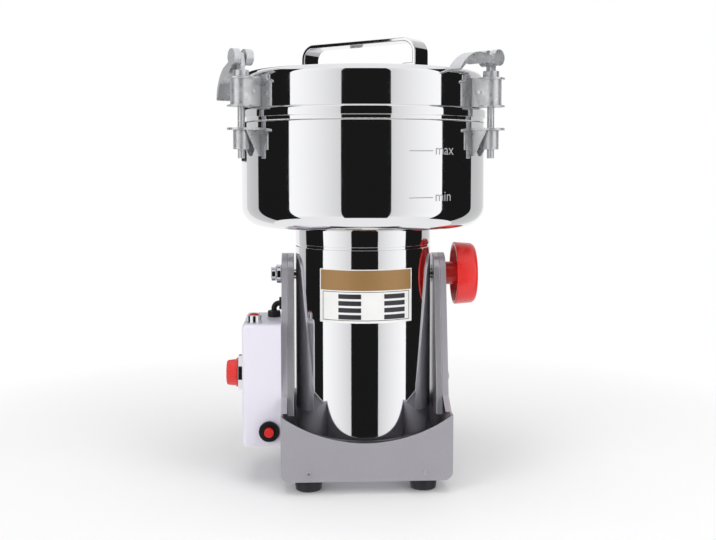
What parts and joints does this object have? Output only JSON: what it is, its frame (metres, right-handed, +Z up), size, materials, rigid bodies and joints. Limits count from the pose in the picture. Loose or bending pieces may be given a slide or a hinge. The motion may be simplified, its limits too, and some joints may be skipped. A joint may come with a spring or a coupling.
{
  "type": "electric grain mill",
  "caption": "Tilting electric grain mill with a polished grinding bowl, clamped lid with strap handle, barrel motor, control box and a stand on rubber feet.",
  "frame": {"origin": "on the table under the middle of the whole outline; the mill's axis is 5.5 mm right and 8.9 mm forward of it", "axes": "+Z up, -Y is the front with the panel and push button, +X is the side of the lock knob; the tilt pivot runs along X"},
  "size_m": [0.2584, 0.2567, 0.412],
  "materials": {
    "painted_stand": "silver-grey metallic enamel, satin",
    "zinc_plate": "zinc-plated sheet",
    "foot_rubber": "moulded black rubber",
    "screw_steel": "plated steel",
    "bronze_bush": "sintered bronze",
    "box_enamel": "pale lavender-white enamel, satin",
    "black_plastic": "moulded black plastic",
    "lead_rubber": "black rubber sheath",
    "chrome_trim": "bright chrome plate",
    "lamp_red": "clear red lens",
    "red_plastic": "moulded red plastic",
    "polished_steel": "mirror-polished stainless steel",
    "label_card": "bare printed plate",
    "clamp_steel": "turned stainless steel",
    "bearing_steel": "ground bearing steel",
    "motor_iron": "varnished laminations",
    "copper": "copper",
    "fan_plastic": "moulded fan",
    "blade_steel": "ground stainless steel",
    "seal_silicone": "white silicone"
  },
  "bodies": {
    "stand": {"stand_shell": "painted_stand", "arm_cheek_left": "painted_stand", "arm_cheek_right": "painted_stand", "base_plate": "zinc_plate", "rubber_feet": "foot_rubber", "foot_screws": "screw_steel", "panel_screws": "screw_steel", "arm_screws": "screw_steel", "pivot_bush_left": "bronze_bush", "pivot_bush_right": "bronze_bush", "control_box": "box_enamel", "box_back_plate": "zinc_plate", "timer_body": "black_plastic", "timer_bezel": "chrome_trim", "lamp_base": "chrome_trim", "lamp_lens": "lamp_red", "breaker_body": "black_plastic", "power_inlet": "black_plastic", "cable_glands": "black_plastic", "motor_lead": "lead_rubber"},
    "mill": {"motor_barrel": "polished_steel", "barrel_cap": "polished_steel", "label_plate": "label_card", "bowl_shell": "polished_steel", "shaft_seal": "lead_rubber", "bearing_lower": "bearing_steel", "bearing_upper": "bearing_steel", "end_shield_lower": "zinc_plate", "end_shield_upper": "zinc_plate", "stator": "motor_iron", "stator_ring": "motor_iron", "brush_holders": "black_plastic", "pivot_bolt_left": "chrome_trim", "pivot_nut_left": "chrome_trim", "pivot_stud_right": "chrome_trim", "bowl_brackets": "polished_steel", "clamp_rods": "clamp_steel", "rod_nuts": "clamp_steel"},
    "rotor": {"motor_shaft": "bearing_steel", "armature": "motor_iron", "commutator": "copper", "cooling_fan": "fan_plastic", "blade_lower": "blade_steel", "blade_upper": "blade_steel", "blade_spacer": "blade_steel", "blade_nut": "blade_steel"},
    "lock": {"lock_knob": "red_plastic"},
    "timer": {"timer_knob": "red_plastic"},
    "button": {"reset_button": "red_plastic"},
    "lid": {"lid_shell": "polished_steel", "lid_seal": "seal_silicone", "lid_handle": "polished_steel", "lid_brackets": "polished_steel", "bracket_rivets": "screw_steel"},
    "nut_right": {"barrel_nut_right": "clamp_steel"},
    "lever_right": {"cam_lever_right": "polished_steel"},
    "nut_rear": {"barrel_nut_rear": "clamp_steel"},
    "lever_rear": {"cam_lever_rear": "polished_steel"},
    "nut_left": {"barrel_nut_left": "clamp_steel"},
    "lever_left": {"cam_lever_left": "polished_steel"}
  },
  "joints": [
    {"name": "tilt", "type": "hinge", "parent": "stand", "child": "mill", "pos_m": [0.0074, -0.0121, 0.192], "axis": [1, 0, 0], "range_deg": [-90, 90]},
    {"name": "rotor_spin", "type": "hinge", "parent": "mill", "child": "rotor", "pos_m": [0.0074, -0.0121, 0.25], "axis": [0, 0, 1], "continuous": true},
    {"name": "lock_turn", "type": "hinge", "parent": "mill", "child": "lock", "pos_m": [0.0974, -0.0121, 0.192], "axis": [1, 0, 0], "range_deg": [0, 540]},
    {"name": "timer_turn", "type": "hinge", "parent": "stand", "child": "timer", "pos_m": [-0.1076, -0.0151, 0.098], "axis": [-1, 0, 0], "range_deg": [0, 300]},
    {"name": "button_press", "type": "slide", "parent": "stand", "child": "button", "axis": [0, 1, 0], "range_m": [0, 0.0025], "stiffness_N_per_m": 400},
    {"name": "lid_lift", "type": "slide", "parent": "mill", "child": "lid", "axis": [0, 0, 1], "range_m": [0, 0.08]},
    {"name": "nut_spin_right", "type": "hinge", "parent": "lid", "child": "nut_right", "pos_m": [0.11825, -0.0761, 0.376], "axis": [0, 0, 1], "range_deg": [0, 180]},
    {"name": "lever_flip_right", "type": "hinge", "parent": "nut_right", "child": "lever_right", "pos_m": [0.11825, -0.0761, 0.3909], "axis": [-0.6561, 0.7547, 0], "range_deg": [0, 100]},
    {"name": "nut_spin_rear", "type": "hinge", "parent": "lid", "child": "nut_rear", "pos_m": [0.0074, 0.1159, 0.376], "axis": [0, 0, 1], "range_deg": [-10, 180]},
    {"name": "lever_flip_rear", "type": "hinge", "parent": "nut_rear", "child": "lever_rear", "pos_m": [0.0074, 0.1159, 0.3909], "axis": [0, -1, 0], "range_deg": [0, 130]},
    {"name": "nut_spin_left", "type": "hinge", "parent": "lid", "child": "nut_left", "pos_m": [-0.10345, -0.0761, 0.376], "axis": [0, 0, 1], "range_deg": [-10, 180]},
    {"name": "lever_flip_left", "type": "hinge", "parent": "nut_left", "child": "lever_left", "pos_m": [-0.10345, -0.0761, 0.3909], "axis": [0.866, 0.5, 0], "range_deg": [0, 130]}
  ]
}
